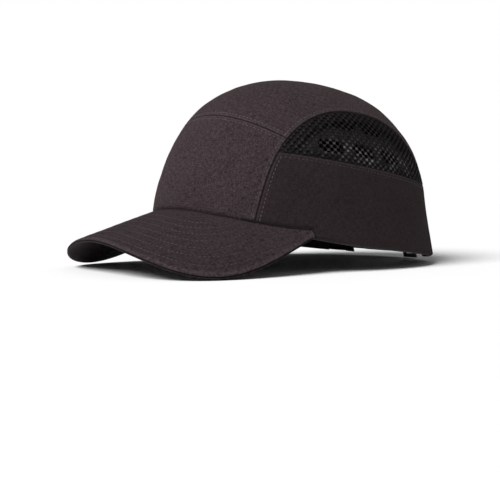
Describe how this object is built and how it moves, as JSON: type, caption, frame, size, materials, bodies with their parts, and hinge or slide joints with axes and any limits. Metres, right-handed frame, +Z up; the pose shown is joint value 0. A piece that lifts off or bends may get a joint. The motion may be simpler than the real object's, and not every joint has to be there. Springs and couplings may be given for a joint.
{
  "type": "bump cap",
  "caption": "Textile baseball-style cap with a curved peak, mesh vents and a removable vented hard shell with foam pads, closed at the back by a ring and hook strap.",
  "frame": {"origin": "middle of the cap's footprint on the surface that it lies on", "axes": "+X to the wearer's left, +Y to the back of the cap, +Z up; the peak points to -Y"},
  "size_m": [0.1856, 0.2726, 0.1334],
  "materials": {
    "crown_cloth": "matt woven canvas",
    "side_cloth": "matt woven canvas, darker",
    "vent_mesh": "knitted spacer mesh",
    "peak_cloth": "matt woven canvas",
    "peak_under_cloth": "matt woven canvas, darker",
    "stiffener": "stiff open interlining",
    "seam_tape": "plain woven tape",
    "towelling": "looped towelling",
    "binding_tape": "plain woven tape",
    "webbing": "narrow webbing",
    "loop_pile": "soft pile",
    "hook_tape": "stiff hooks",
    "peak_board": "flat board",
    "ring_plastic": "moulded",
    "shell_plastic": "moulded, fine texture",
    "foam": "closed-cell foam, matt"
  },
  "bodies": {
    "cap": {"front_panel": "crown_cloth", "crown_panel": "crown_cloth", "left_mesh_vent": "vent_mesh", "right_mesh_vent": "vent_mesh", "left_side_panel": "side_cloth", "right_side_panel": "side_cloth", "front_stiffener": "stiffener", "front_seam_tape": "seam_tape", "left_band_tape": "seam_tape", "right_band_tape": "seam_tape", "left_side_seam_tape": "seam_tape", "right_side_seam_tape": "seam_tape", "rear_seam_tape": "seam_tape", "sweatband": "towelling", "peak_top_cover": "peak_cloth", "peak_board": "peak_board", "peak_under_cover": "peak_under_cloth", "crown_loop_patch": "loop_pile", "rear_arch_binding": "binding_tape", "adjuster_strap": "webbing", "strap_loop_patch": "loop_pile", "ring_keeper": "webbing"},
    "ring": {"adjuster_ring": "ring_plastic"},
    "tail": {"strap_tail": "webbing", "tail_hook_patch": "hook_tape"},
    "insert": {"hard_shell": "shell_plastic", "shell_hook_patch": "hook_tape", "foam_front": "foam", "foam_rear": "foam", "foam_crown": "foam", "foam_left": "foam", "foam_right": "foam"}
  },
  "joints": [
    {"name": "insert_lift_out", "type": "slide", "parent": "cap", "child": "insert", "axis": [0, -0.1251, -0.9921], "range_m": [0, 0.15]},
    {"name": "tail_peel", "type": "hinge", "parent": "cap", "child": "tail", "pos_m": [0.0146, 0.13554, 0.00459], "axis": [0, 0.1496, -0.9887], "range_deg": [0, 150]},
    {"name": "ring_rock", "type": "hinge", "parent": "cap", "child": "ring", "pos_m": [0.0278, 0.12992, 0.0053], "axis": [0, -0.1591, 0.9873], "range_deg": [-2.5, 2.5]}
  ]
}
